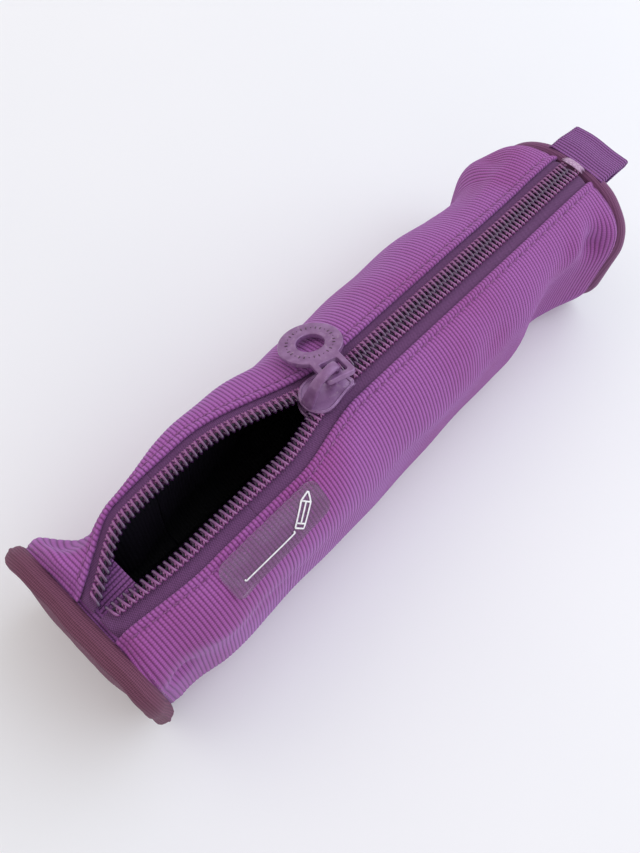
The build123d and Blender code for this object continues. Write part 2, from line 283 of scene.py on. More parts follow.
def make_piece(name, points, faces, weave, material):
    """A mesh from points in millimetres, lists of faces by size, and each point's place in the
    weave."""
    mesh = bpy.data.meshes.new(name)
    points = np.asarray(points, np.float32).reshape(-1, 3) * MM
    mesh.vertices.add(len(points))
    mesh.vertices.foreach_set("co", points.ravel())
    sizes = np.concatenate([np.full(len(f), np.shape(f)[1]) for f in faces])
    corners = np.concatenate([np.asarray(f, np.int32).ravel() for f in faces])
    mesh.loops.add(len(corners))
    mesh.loops.foreach_set("vertex_index", corners)
    mesh.polygons.add(len(sizes))
    mesh.polygons.foreach_set("loop_start", np.concatenate([[0], np.cumsum(sizes)[:-1]]))
    mesh.update(calc_edges=True)
    mesh.polygons.foreach_set("use_smooth", sizes <= 4)
    spot = mesh.attributes.new("weave", "FLOAT_VECTOR", "POINT")
    spot.data.foreach_set("vector", np.asarray(weave, np.float32).reshape(-1, 3).ravel())
    mesh.validate()
    mesh.materials.append(material)
    obj = bpy.data.objects.new(name, mesh)
    bpy.context.scene.collection.objects.link(obj)
    return obj


def loop_faces(rows, columns):
    """Faces over a grid whose rows are closed loops, with an end face at the first and last."""
    index = np.arange(rows * columns).reshape(rows, columns)
    following = np.roll(index, -1, axis=1)
    quads = np.stack([index[:-1], following[:-1], following[1:], index[1:]], axis=2)
    return [quads.reshape(-1, 4), [index[0][::-1], index[-1]]]


def loop_piece(name, grid, weave, material, flip=False):
    faces = loop_faces(*grid.shape[:2])
    if flip:
        faces = [np.asarray(f)[:, ::-1] for f in faces]
    return make_piece(name, grid, faces, weave, material)


def grid_weave(xs, arcs, side=0):
    x, arc = np.meshgrid((np.asarray(xs) - NEAR_SEAM) / RIB, arcs, indexing="ij")
    return np.stack([x, arc, np.full_like(x, side)], axis=2)


# ---------------------------------------------------------------- materials

class Shader:
    """A node material built up from its Principled shader."""

    def __init__(self, name, roughness=0.6, **values):
        self.material = bpy.data.materials.new(name)
        self.material.use_nodes = True
        self.nodes = self.material.node_tree.nodes
        self.links = self.material.node_tree.links
        self.surface = self.nodes["Principled BSDF"]
        self.surface.inputs["Roughness"].default_value = roughness
        for key, value in values.items():
            self.surface.inputs[key.replace("_", " ")].default_value = value

    def node(self, kind, inputs=(), **settings):
        made = self.nodes.new("ShaderNode" + kind)
        for key, value in settings.items():
            setattr(made, key, value)
        for key, value in dict(inputs).items():
            if isinstance(value, bpy.types.NodeSocket):
                self.links.new(value, made.inputs[key])
            else:
                made.inputs[key].default_value = value
        return made

    def math(self, operation, first, second=0.0, third=0.5):
        inputs = {0: first, 1: second, 2: third}
        return self.node("Math", inputs, operation=operation).outputs[0]

    def place(self):
        return self.node("TexCoord").outputs["Object"]

    def weave(self):
        spot = self.node("Attribute", attribute_name="weave")
        return self.node("SeparateXYZ", {0: spot.outputs["Vector"]}).outputs

    def noise(self, scale, detail=3.0, vector=None, roughness=0.5):
        inputs = {"Vector": vector or self.place(), "Scale": scale, "Detail": detail,
                  "Roughness": roughness}
        return self.node("TexNoise", inputs).outputs["Fac"]

    def ramp(self, value, *stops):
        made = self.node("ValToRGB", {0: value})
        band = made.color_ramp
        while len(band.elements) < len(stops):
            band.elements.new(0.5)
        for element, (position, colour) in zip(band.elements, stops):
            element.position = position
            element.color = colour if isinstance(colour, tuple) else (colour,) * 3 + (1,)
        return made.outputs["Color"]

    def mix(self, share, first, second, blend="MIX"):
        made = self.node("Mix", data_type="RGBA", blend_type=blend)
        for socket, value in zip((made.inputs[0], made.inputs[6], made.inputs[7]),
                                 (share, first, second)):
            if isinstance(value, bpy.types.NodeSocket):
                self.links.new(value, socket)
            else:
                socket.default_value = value
        return made.outputs[2]

    def colour(self, value):
        self.links.new(value, self.surface.inputs["Base Color"])

    def rough(self, value):
        self.links.new(value, self.surface.inputs["Roughness"])

    def bump(self, height, distance, strength=1.0):
        made = self.node("Bump", {"Height": height, "Distance": distance * MM,
                                  "Strength": strength})
        last = self.surface.inputs["Normal"].links
        if last:
            self.links.new(last[0].from_socket, made.inputs["Normal"])
        self.links.new(made.outputs[0], self.surface.inputs["Normal"])


def rgb(red, green, blue):
    """A colour given as it shows on screen, from 0 to 255."""
    def linear(value):
        value /= 255
        return value / 12.92 if value < 0.04045 else ((value + 0.055) / 1.055) ** 2.4
    return (linear(red), linear(green), linear(blue), 1.0)


def ribbed_cloth(name, valley_shade_colour, lit_ridge_colour, warm_colour, sheen):
    """Ribbed cloth: rounded ribs of small beads, with painted shade between them and a painted
    highlight on their tops, and slow changes of hue.
    """
    made = Shader(name, 0.72, Sheen_Weight=sheen, Sheen_Roughness=0.45,
                  Sheen_Tint=rgb(206, 180, 238), Specular_IOR_Level=0.3)
    across, along, _ = made.weave()
    rib = made.math("ABSOLUTE", made.math("SINE", made.math("MULTIPLY", across, math.pi)))
    row = made.math("MULTIPLY", made.math("FLOOR", across), math.pi)
    turn = made.math("ADD", made.math("MULTIPLY", along, 2 * math.pi / BEAD), row)
    bead = made.math("MULTIPLY_ADD", made.math("SINE", turn), 0.5, 0.5)
    height = made.math("MULTIPLY", rib, made.math("ADD", made.math("MULTIPLY", bead, 0.45), 0.55))
    fuzz = made.noise(2600, 2)
    shade = made.math("ADD", height, made.math("MULTIPLY", made.math("SUBTRACT", fuzz, 0.5), 0.5))
    # painted shade in the rib valleys and a painted highlight on the bead tops, over the bump
    cloth = made.ramp(shade, (0.10, valley_shade_colour), (0.55, lit_ridge_colour),
                      (1.0, tuple(min(1, c * 1.2) for c in lit_ridge_colour[:3]) + (1,)))
    slow = made.ramp(made.noise(26, 3), (0.42, 0.0), (0.68, 1.0))
    cloth = made.mix(made.math("MULTIPLY", slow, 0.5), cloth, warm_colour, "SOFT_LIGHT")
    made.colour(cloth)
    made.bump(height, 0.16, 0.8)
    made.bump(fuzz, 0.05, 0.6)
    return made.material


def plain_weave(name, deep, light, warp, weft, sheen=0.3, angle=0.0, roughness=0.75):
    """A fine flat weave with threads of those two pitches in millimetres, turned by an angle."""
    made = Shader(name, roughness, Sheen_Weight=sheen, Sheen_Roughness=0.5,
                  Sheen_Tint=rgb(222, 190, 226), Specular_IOR_Level=0.3)
    spot = made.node("Attribute", attribute_name="weave").outputs["Vector"]
    turned = made.node("VectorRotate", {"Vector": spot, "Angle": math.radians(angle)},
                       rotation_type="Z_AXIS").outputs[0]
    x, y, _ = made.node("SeparateXYZ", {0: turned}).outputs
    first = made.math("SINE", made.math("MULTIPLY", x, 2 * math.pi * RIB / warp))
    second = made.math("SINE", made.math("MULTIPLY", y, 2 * math.pi / weft))
    height = made.math("ADD", made.math("MULTIPLY", made.math("MULTIPLY", first, second), 0.5), 0.5)
    fuzz = made.noise(3000, 2)
    shade = made.math("ADD", made.math("MULTIPLY", height, 0.7), made.math("MULTIPLY", fuzz, 0.4))
    made.colour(made.ramp(shade, (0.15, deep), (0.85, light)))
    made.bump(height, 0.12, 0.7)
    made.bump(fuzz, 0.04, 0.5)
    return made.material


purple_cloth = ribbed_cloth("purple_ribbed_cloth", rgb(114, 56, 114), rgb(158, 90, 163),
                            rgb(156, 84, 100), 0.4)
lining_cloth = ribbed_cloth("dark_lining_cloth", rgb(6, 6, 10), rgb(17, 17, 25),
                            rgb(20, 18, 26), 0.05)
# The two end rims are one cloth in two copies: the near rim's is darkened as painted shade, since
# the near end faces away from the key light, and the far rim's is lighter, as painted light.
near_rim_shaded_weave = plain_weave("purple_near_rim_shaded_weave", rgb(70, 32, 54), rgb(124, 72, 96), 0.75, 0.75,
                        sheen=0.1, angle=45)
far_rim_lit_weave = plain_weave("purple_far_rim_lit_weave", rgb(88, 46, 80), rgb(136, 84, 124), 0.75, 0.75,
                            sheen=0.2, angle=45)
tape_weave = plain_weave("purple_zip_tape", rgb(54, 24, 58), rgb(124, 76, 128), 0.7, 0.45)
webbing_weave = ribbed_cloth("purple_webbing", rgb(74, 34, 78), rgb(134, 80, 142),
                             rgb(140, 78, 110), 0.25)


def coil_nylon():
    """Clear-dyed nylon wire, with painted shade that makes it darkest towards its heads, where the
    two coils interlock.
    """
    made = Shader("purple_coil_nylon_shaded_heads", 0.2, Coat_Weight=0.5, Coat_Roughness=0.15,
                  Specular_IOR_Level=0.7)
    _, _, inward = made.weave()
    # painted shade: the wire's colour darkens from its outer bends to its heads
    made.colour(made.ramp(inward, (0.30, rgb(136, 72, 132)), (0.86, rgb(64, 34, 74))))
    made.bump(made.noise(1500, 2), 0.02, 0.4)
    return made.material


def thread(name, deep, light):
    made = Shader(name, 0.6, Sheen_Weight=0.4, Sheen_Roughness=0.4)
    made.colour(made.ramp(made.noise(1900, 3), (0.3, deep), (0.7, light)))
    made.bump(made.noise(3500, 2), 0.04, 0.7)
    return made.material


def painted_metal(name, deep, light):
    """Enamel over a zinc casting, with small pale scuffs."""
    made = Shader(name, 0.34, Metallic=0.25, Coat_Weight=0.3, Coat_Roughness=0.2,
                  Specular_IOR_Level=0.6)
    worn = made.ramp(made.noise(900, 4), (0.60, 0.0), (0.72, 0.5))
    base = made.ramp(made.noise(420, 4), (0.35, deep), (0.7, light))
    made.colour(made.mix(worn, base, rgb(168, 140, 166)))
    made.rough(made.ramp(made.noise(700, 4), (0.3, 0.28), (0.75, 0.46)))
    made.bump(made.noise(1600, 3), 0.02, 0.35)
    return made.material


def clear_film():
    """A thin glossy film that shows the ribs under it, a little milky."""
    made = Shader("clear_label_film", 0.16, Specular_IOR_Level=0.8)
    surface = made.surface
    surface.inputs["Base Color"].default_value = rgb(168, 136, 170)
    made.bump(made.noise(90, 2), 0.10, 0.3)
    open_air = made.node("BsdfTransparent", {"Color": (0.94, 0.92, 0.94, 1)})
    gloss = made.node("LayerWeight", {"Blend": 0.25}).outputs["Fresnel"]
    share = made.math("MULTIPLY_ADD", gloss, 0.5, 0.16)
    both = made.node("MixShader")
    made.links.new(share, both.inputs[0])
    made.links.new(open_air.outputs[0], both.inputs[1])
    made.links.new(surface.outputs[0], both.inputs[2])
    made.links.new(both.outputs[0], made.nodes["Material Output"].inputs["Surface"])
    return made.material


def ink():
    made = Shader("white_label_ink", 0.5)
    made.colour(made.ramp(made.noise(1200, 3), (0.3, rgb(226, 222, 230)),
                          (0.6, rgb(248, 247, 250))))
    return made.material


coil_wire_material = coil_nylon()
core_material = thread("dark_coil_core", rgb(24, 14, 34), rgb(46, 26, 60))
pink_thread = thread("pink_purple_thread", rgb(112, 54, 106), rgb(158, 92, 148))
purple_thread = thread("purple_thread", rgb(104, 44, 102), rgb(160, 92, 156))
pale_thread = thread("pale_bar_tack_thread", rgb(160, 116, 160), rgb(214, 184, 214))
metal = painted_metal("mauve_painted_metal", rgb(126, 84, 132), rgb(148, 108, 156))
# dark enamel for the ring's raised dashes is painted shade, standing for the shade in engraved
# marks
engraving_shade_metal = painted_metal("dark_engraving_shade", rgb(70, 40, 66), rgb(92, 58, 86))
film = clear_film()
white_ink = ink()


# ---------------------------------------------------------------- the near and far parts of the lips

def follow(piece):
    """Bakes the placement of the near or far part of a lip into its mesh."""
    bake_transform(piece)


def part_range(side, part, start, end):
    middle = valley(SPLIT[side])
    return (start, middle) if part == "near" else (middle, end)


def lip_parts():
    return [(side, part) for side in (LEFT, RIGHT) for part in ("near", "far")]


# ---------------------------------------------------------------- wrap and lining

def wrap_path(side):
    """Once round the folded cloth in section: out over the fold, down the outside, back inside."""
    edge = FOLD[side]
    turn = np.linspace(-90, 90, 9)
    fold_arcs = edge + FOLD_RADIUS - FOLD_RADIUS * np.cos(np.radians(turn))
    fold_rises = -0.55 + FOLD_RADIUS * np.sin(np.radians(turn))
    outer = np.concatenate([edge + np.array([1.3, 1.8, 2.2, 2.6, 3.2, 4.0, 4.8]),
                            np.linspace(edge + 5.6, NOMINAL_ARC, 80)])
    outer_rises = np.zeros(len(outer))
    outer_rises[:6] = [0.12, -0.16, -0.30, -0.20, -0.04, 0.02]
    inner = np.linspace(NOMINAL_ARC, edge + 1.6, 22)
    arcs = np.concatenate([fold_arcs, outer, inner])
    rises = np.concatenate([fold_rises, outer_rises, np.full(len(inner), -CLOTH)])
    ribs = np.concatenate([np.full(len(fold_arcs), 1.7), np.ones(len(outer)), np.zeros(len(inner))])
    ribs[len(fold_arcs) + 1:len(fold_arcs) + 4] = 0.6
    return arcs, rises, ribs


def wrap_piece(side, part):
    arcs, rises, ribs = wrap_path(side)
    start, end = part_range(side, part, NEAR_SEAM, FAR_SEAM)
    xs = stations(start, end, RIB / RIB_SAMPLES)
    grid = shell(xs, side, arcs, rises, ribs)
    piece = loop_piece(f"{SIDE_NAME[side]}_wrap_{part}", grid, grid_weave(xs, arcs), purple_cloth,
                       flip=side == LEFT)
    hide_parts("body_panel")
    follow(piece)


def lining_piece(side, part):
    outer = np.linspace(LINING_START, NOMINAL_ARC, LINING_ROWS)
    arcs = np.concatenate([outer, outer[::-1]])
    rises = np.concatenate([np.full(LINING_ROWS, -1.75), np.full(LINING_ROWS, -2.15)])
    start, end = part_range(side, part, NEAR_SEAM - 1.0, FAR_SEAM + 1.0)
    xs = stations(start, end, RIB)
    grid = shell(xs, side, arcs, rises)
    grid[:, :, 2] = np.maximum(grid[:, :, 2], np.where(rises > -2, 1.1, 1.5))
    piece = loop_piece(f"{SIDE_NAME[side]}_lining_{part}", grid, grid_weave(xs, arcs),
                       lining_cloth, flip=side == LEFT)
    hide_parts("body_lining")
    follow(piece)


def base_strip(name, low, high, start, end, material, step):
    """The part of the wrap or its lining that lies flat between the two hinge lines."""
    xs = stations(start, end, step)
    across = np.linspace(-HINGE_Y, HINGE_Y, BASE_ROWS)
    ys = np.concatenate([across, across[::-1]])
    rib = np.sqrt(np.abs(np.sin(np.pi * (xs - NEAR_SEAM) / RIB)))[:, None]
    grid = np.empty((len(xs), len(ys), 3))
    grid[:, :, 0] = xs[:, None]
    grid[:, :, 1] = ys
    bottom = low + 0.12 * (1 - rib) if step < RIB else np.full((len(xs), 1), low)
    grid[:, :BASE_ROWS, 2] = high
    grid[:, BASE_ROWS:, 2] = bottom
    return loop_piece(name, grid, grid_weave(xs, ys), material, flip=True)


for side, part in lip_parts():
    wrap_piece(side, part)
    lining_piece(side, part)
base_wrap = base_strip("wrap_base", 0.0, CLOTH, NEAR_SEAM, FAR_SEAM, purple_cloth,
                       RIB / RIB_SAMPLES)
base_lining = base_strip("lining_base", 1.1, 1.5, NEAR_SEAM - 1, FAR_SEAM + 1, lining_cloth, RIB)
for piece, node, slot in ((base_wrap, "body_panel", "outer_cloth"),
                          (base_lining, "body_lining", "lining_cloth")):
    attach(piece, "case")
    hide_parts(node)


# ---------------------------------------------------------------- zip

def tape_piece(side, part):
    """The woven tape, from under its coil to under the fold."""
    top = np.concatenate([np.linspace(0.7, 8.0, 26), np.linspace(8.6, 14.0, 8)])
    arcs = np.concatenate([top, top[::-1]])
    rises = np.concatenate([np.full(len(top), -1.15), np.full(len(top), -1.65)])
    start, end = part_range(side, part, NEAR_SEAM + 1.0, FAR_SEAM - 0.5)
    xs = stations(start, end, RIB / 2)
    grid = shell(xs, side, arcs, rises)
    row = np.sin(np.pi * 2 * (xs[:, None] / 1.2 + arcs / 0.9)) * 0.05
    grid[:, :, 2] += row * (rises > -1.3)
    piece = loop_piece(f"{SIDE_NAME[side]}_tape_{part}", grid, grid_weave(xs, arcs), tape_weave,
                       flip=side == LEFT)
    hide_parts(f"{SIDE_NAME[side]}_zip_tape")
    follow(piece)


def coil_line(side, xs):
    """The coil's centre at these stations, with the directions inward, up and along there."""
    xs = np.asarray(xs, float)
    grid = shell(xs, side, [COIL_CENTRE - 0.4, COIL_CENTRE, COIL_CENTRE + 0.4], -0.25)
    inward = unit(grid[:, 0] - grid[:, 2])
    along = unit(np.gradient(grid[:, 1], axis=0))
    up = np.cross(along, inward) * -side
    up *= np.sign(up[:, 2:3])
    return grid[:, 1], inward, up, along


def tube(line, radius, sides=8):
    """Grid of rings round a line of points, with radius as a number or one per point."""
    ahead = unit(np.gradient(line, axis=0))
    off_line = [0.31, 0.27, 0.91]  # a direction that none of the lines takes
    first = unit(np.cross(ahead, off_line))
    second = np.cross(ahead, first)
    turn = np.linspace(0, 2 * math.pi, sides, endpoint=False)
    radius = np.broadcast_to(radius, len(line))[:, None, None]
    return line[:, None] + radius * (first[:, None] * np.cos(turn)[None, :, None]
                                     + second[:, None] * np.sin(turn)[None, :, None])


def coil_turns(side, part):
    """The stations of the turns in one part of a coil."""
    offset = 0 if side == LEFT else COIL_PITCH / 2
    xs = COIL_START + offset + COIL_PITCH * np.arange(COIL_TURNS)
    middle = valley(SPLIT[side])
    return xs[xs < middle] if part == "near" else xs[xs >= middle]


def coil_piece(side, part):
    turns = coil_turns(side, part)
    per_turn = 20
    count = len(turns) * per_turn
    xs = turns[0] + COIL_PITCH * (np.arange(count) / per_turn - 0.5)
    centre, inward, up, _ = coil_line(side, xs)
    angle = 2 * math.pi * np.arange(count) / per_turn
    flat = np.sign(np.cos(angle)) * np.abs(np.cos(angle)) ** 0.75
    high = np.sign(np.sin(angle)) * np.abs(np.sin(angle)) ** 0.6
    reach = (COIL_LENGTH / 2 - WIRE) * flat
    line = centre + inward * reach[:, None] + up * ((COIL_HEIGHT / 2 - WIRE) * high)[:, None]
    whole = np.repeat(np.arange(len(turns)), per_turn)
    eased = 0.5 * (1 - np.cos(np.linspace(0, math.pi, per_turn, endpoint=False)))
    line[:, 0] = turns[0] + COIL_PITCH * (whole + np.tile(eased, len(turns)) - 0.5)
    radius = WIRE * (1 + 0.22 * smooth((flat - 0.5) / 0.5))
    grid = tube(line, radius, 8)
    spot = np.zeros(grid.shape)
    # how far in each point of the wire lies, which sets the painted shade at its heads
    spot[:, :, 2] = (0.5 + reach / COIL_LENGTH)[:, None]
    piece = loop_piece(f"{SIDE_NAME[side]}_coil_{part}", grid, spot, coil_wire_material)
    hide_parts(f"{SIDE_NAME[side]}_zip_coil")
    follow(piece)


def core_piece(side, part):
    turns = coil_turns(side, part)
    centre, _, _, _ = coil_line(side, np.arange(turns[0] - 0.6, turns[-1] + 0.7, 0.5))
    grid = tube(centre, 0.34, 8)
    piece = loop_piece(f"{SIDE_NAME[side]}_core_{part}", grid, np.zeros(grid.shape), core_material)
    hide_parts(f"{SIDE_NAME[side]}_coil_core")
    follow(piece)


def capsules(name, starts, ends, lifts, radius, material):
    """Short bowed threads from start to end, each lifted in its middle, joined as one mesh."""
    steps = 7
    t = np.linspace(0, 1, steps)
    fat = radius * np.sqrt(np.clip(1 - (2 * t - 1) ** 6, 0.03, 1))
    points, quads, caps, base = [], [], [], 0
    for start, end, lift in zip(starts, ends, lifts):
        line = start + (end - start) * t[:, None] + lift * (4 * t * (1 - t))[:, None]
        grid = tube(line, fat, 6)
        quad, cap = loop_faces(steps, 6)
        points.append(grid.reshape(-1, 3))
        quads.append(quad + base)
        caps.append(np.asarray(cap) + base)
        base += grid.shape[0] * grid.shape[1]
    points = np.concatenate(points)
    faces = [np.concatenate(quads), np.concatenate(caps)]
    return make_piece(name, points, faces, np.zeros(points.shape), material)


def coil_stitches(side, part):
    """Two rows of lockstitch over the outer half of a coil, one loop for each turn."""
    turns = coil_turns(side, part)
    centre, inward, up, along = coil_line(side, turns + COIL_PITCH / 2)
    starts, ends, lifts = [], [], []
    for row in (-0.25, -1.25):
        spot = centre + inward * row + up * (COIL_HEIGHT / 2 - 0.5)
        starts.append(spot - along * 0.30 - inward * 0.42)
        ends.append(spot + along * 0.30 + inward * 0.42)
        lifts.append(up * 0.2)
    piece = capsules(f"{SIDE_NAME[side]}_coil_stitches_{part}", np.concatenate(starts),
                     np.concatenate(ends), np.concatenate(lifts), 0.2, pink_thread)
    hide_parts(f"{SIDE_NAME[side]}_coil_stitching")
    follow(piece)


def top_stitches(side, part):
    """A row of stitches sunk in the groove beside the fold."""
    start, end = part_range(side, part, NEAR_SEAM + 3, FAR_SEAM - 2)
    xs = np.arange(start + 0.4, end - 2.0, 2.6)
    groove = FOLD[side] + 2.2
    first = shell(xs, side, [groove], -0.28)[:, 0]
    last = shell(xs + 2.1, side, [groove], -0.28)[:, 0]
    lifts = np.tile([0, 0, 0.22], (len(xs), 1))
    piece = capsules(f"{SIDE_NAME[side]}_topstitches_{part}", first, last, lifts, 0.19,
                     purple_thread)
    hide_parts(f"{SIDE_NAME[side]}_topstitch")
    follow(piece)


for side, part in lip_parts():
    tape_piece(side, part)
    coil_piece(side, part)
    core_piece(side, part)
    coil_stitches(side, part)
    top_stitches(side, part)


# ---------------------------------------------------------------- end panels

def end_loop(x, count=160):
    """The closed outline of the plain section at x, from the base's middle, and its normals."""
    arcs = np.linspace(0, NOMINAL_ARC, 200)
    halves = []
    for side in (RIGHT, LEFT):
        y, z = section(x, side, arcs)
        half = np.stack([side * y, z], axis=1)
        halves.append(half if side == LEFT else half[::-1])
    outline = np.concatenate([[[0.0, 0.0]], halves[0], halves[1][1:], [[0.0, 0.0]]])
    run = run_along(outline)
    even = np.linspace(0, run[-1], count, endpoint=False)
    points = np.stack([np.interp(even, run, outline[:, k]) for k in (0, 1)], axis=1)
    ahead = np.roll(points, -1, axis=0) - np.roll(points, 1, axis=0)
    return points, unit(np.stack([-ahead[:, 1], ahead[:, 0]], axis=1))


def end_piece(name, seam, outward, profile, bulge, node, material):
    """A padded rim and the panel inside it. The profile gives, from the seam out, how far along X
    and how far in from the outline each ring lies."""
    count = 220
    outline, normal = end_loop(seam + outward * 2, count)
    middle = np.array([0.0, outline[:, 1].mean()])
    rings, weave = [], []
    around = np.arange(count) * 0.9
    for run, inset in profile:
        ring = outline - normal * inset
        rings.append(np.column_stack([np.full(count, seam + outward * run), ring]))
        weave.append(np.column_stack([np.full(count, run / RIB), around, np.zeros(count)]))
    last_run, last_inset = profile[-1]
    edge = outline - normal * last_inset
    shares = np.linspace(0.08, 0.98, 15)
    for share in shares:
        ring = edge + (middle - edge) * share
        swell = bulge * smooth(share * 1.6)
        rings.append(np.column_stack([np.full(count, seam + outward * (last_run + swell)), ring]))
        weave.append(np.column_stack([ring / RIB, np.zeros(count)]))
    grid = np.array(rings)
    grid[:, :, 2] = np.maximum(grid[:, :, 2], 0.15)
    wobble = np.sin(around * 0.21 + 1.0) * 0.22 + np.sin(around * 0.47) * 0.12
    fade = np.concatenate([np.linspace(0, 1, len(profile)), (1 - shares) ** 2])
    grid[:, :, 0] += outward * wobble * fade[:, None]
    piece = loop_piece(name, grid, np.array(weave), material, flip=outward > 0)
    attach(piece, "case")
    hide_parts(node)
    return piece


NEAR_RIM = [(-0.6, 3.2), (-0.2, 1.6), (0.3, 0.5), (1.0, 0.0), (1.8, -0.2), (2.2, -0.55),
            (2.6, -0.6), (2.9, -0.3), (3.6, -0.1), (4.4, 0.3), (4.9, 1.0), (5.0, 1.9), (4.7, 2.8),
            (4.6, 4.0)]
FAR_RIM = [(-0.6, 2.6), (-0.2, 1.2), (0.4, 0.2), (1.2, -0.3), (2.2, -0.4), (3.0, 0.0),
           (3.4, 0.7), (3.3, 1.6), (3.0, 2.8)]
# the near rim takes the darker copy of the rim cloth, painted shade, and the far rim the lighter
# copy, painted light
end_piece("near_end_rim", NEAR_SEAM, -1, NEAR_RIM, 1.6, "near_end_panel", near_rim_shaded_weave)
end_piece("far_end_rim", FAR_SEAM, 1, FAR_RIM, 1.4, "far_end_panel", far_rim_lit_weave)

# ---------------------------------------------------------------- inside the ends

def ring_faces(rows, columns):
    """Faces over a grid that closes on itself both ways."""
    index = np.arange(rows * columns).reshape(rows, columns)
    across, down = np.roll(index, -1, axis=1), np.roll(index, -1, axis=0)
    quads = np.stack([index, across, np.roll(across, -1, axis=0), down], axis=2)
    return [quads.reshape(-1, 4)]


def binding(name, start, end, inset, node):
    """A tape folded round the seam allowance inside an end."""
    count = 260
    outline, normal = end_loop((start + end) / 2, count)
    section_loop = [(start, inset), (end, inset + 0.1), (end + 0.2, inset + 0.6),
                    (end, inset + 1.1), (start, inset + 1.1), (start - 0.2, inset + 0.6)]
    grid = np.empty((count, len(section_loop), 3))
    for k, (x, depth) in enumerate(section_loop):
        grid[:, k, 0] = x + 0.15 * np.sin(np.arange(count) * 0.3)
        grid[:, k, 1:] = outline - normal * depth
    grid[:, :, 2] = np.maximum(grid[:, :, 2], 1.6)
    around = np.repeat(np.arange(count)[:, None] * 0.8, len(section_loop), axis=1)
    weave = np.stack([grid[:, :, 0] / RIB, around, np.zeros(around.shape)], axis=2)
    piece = make_piece(name, grid, ring_faces(count, len(section_loop)), weave, webbing_weave)
    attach(piece, "case")
    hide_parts(node)


def end_lining(name, x, outward, node):
    """The lining of an end panel: a thin sheet just inside it."""
    count = 120
    outline, normal = end_loop(x, count)
    edge = outline - normal * 2.4
    middle = edge.mean(axis=0)
    shares = np.linspace(0.97, 0, 12)
    faces_x = (x, x - outward * 0.45)
    rings, weave = [], []
    for face, order in ((faces_x[0], shares), (faces_x[1], shares[::-1])):
        for share in order:
            ring = edge + (middle - edge) * share
            swell = outward * 0.8 * smooth(share)
            rings.append(np.column_stack([np.full(count, face + swell), ring]))
            weave.append(np.column_stack([ring / RIB, np.zeros(count)]))
    grid = np.array(rings)
    grid[:, :, 2] = np.maximum(grid[:, :, 2], 1.8)
    piece = loop_piece(name, grid, np.array(weave), lining_cloth, flip=outward < 0)
    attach(piece, "case")
    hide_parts(node)


binding("near_binding", NEAR_SEAM + 0.2, NEAR_SEAM + 3.6, 2.6, "near_seam_binding")
binding("far_binding", FAR_SEAM - 3.6, FAR_SEAM - 0.2, 2.6, "far_seam_binding")
end_lining("near_end_sheet", NEAR_SEAM - 2.4, -1, "near_end_lining")
end_lining("far_end_sheet", FAR_SEAM + 1.4, 1, "far_end_lining")


def zip_guard():
    """Grosgrain across the inside, under the near end of the zip, its ribs along X."""
    low, high = node_box("near_zip_guard")
    count = 260
    xs = np.linspace(low[0] - 1.0, high[0] - 2.0, 22)
    across = np.linspace(low[1] + 1.0, GUARD_LEFT_END, count)
    ys = np.concatenate([across, across[::-1]])
    grid = np.empty((len(xs), len(ys), 3))
    arcs = np.linspace(0, 30, 90)
    rib = 0.13 * np.abs(np.sin(np.pi * across / 0.62))
    for i, x in enumerate(xs):
        y, z = section(x, LEFT, arcs)
        top = np.interp(np.abs(across) * 0.8, y, z) - 2.9 - 0.35 * smooth((x - low[0]) / 9)
        grid[i, :, 0], grid[i, :, 1] = x, ys
        grid[i, :count, 2], grid[i, count:, 2] = top + rib, top[::-1] - 0.6
    weave = np.stack([grid[:, :, 1] / RIB, grid[:, :, 0], np.zeros(grid.shape[:2])], axis=2)
    piece = loop_piece("near_guard", grid, weave, webbing_weave, flip=True)
    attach(piece, "case")
    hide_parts("near_zip_guard")


zip_guard()

# ---------------------------------------------------------------- label


class Patch:
    """A smooth stretch of the case's surface, on which small trim is laid out by x and arc."""

    def __init__(self, side, x_range, arc_range, step=0.5):
        self.xs = np.arange(x_range[0], x_range[1] + step, step)
        self.arcs = np.arange(arc_range[0], arc_range[1] + step, step)
        self.step = step
        self.grid = shell(self.xs, side, self.arcs, np.zeros(len(self.arcs)))
        self.normal = surface_normal(self.grid, side)

    def at(self, x, arc, rise):
        i = (np.asarray(x) - self.xs[0]) / self.step
        j = (np.asarray(arc) - self.arcs[0]) / self.step
        i0 = np.clip(i.astype(int), 0, len(self.xs) - 2)
        j0 = np.clip(j.astype(int), 0, len(self.arcs) - 2)
        a, b = (i - i0)[..., None], (j - j0)[..., None]

        def blend(values):
            return ((values[i0, j0] * (1 - a) + values[i0 + 1, j0] * a) * (1 - b)
                    + (values[i0, j0 + 1] * (1 - a) + values[i0 + 1, j0 + 1] * a) * b)
        return blend(self.grid) + blend(self.normal) * np.asarray(rise)[..., None]


label_low, label_high = node_box("clear_label")
LABEL_ARCS = (8.7, 19.6)
LABEL_CORNER = 2.6
FILM_BASE = RIB_HEIGHT + 0.04
FILM_TOP = FILM_BASE + 0.28
label_patch = Patch(RIGHT, (label_low[0] - 3, label_high[0] + 3), (6.0, 24.0))


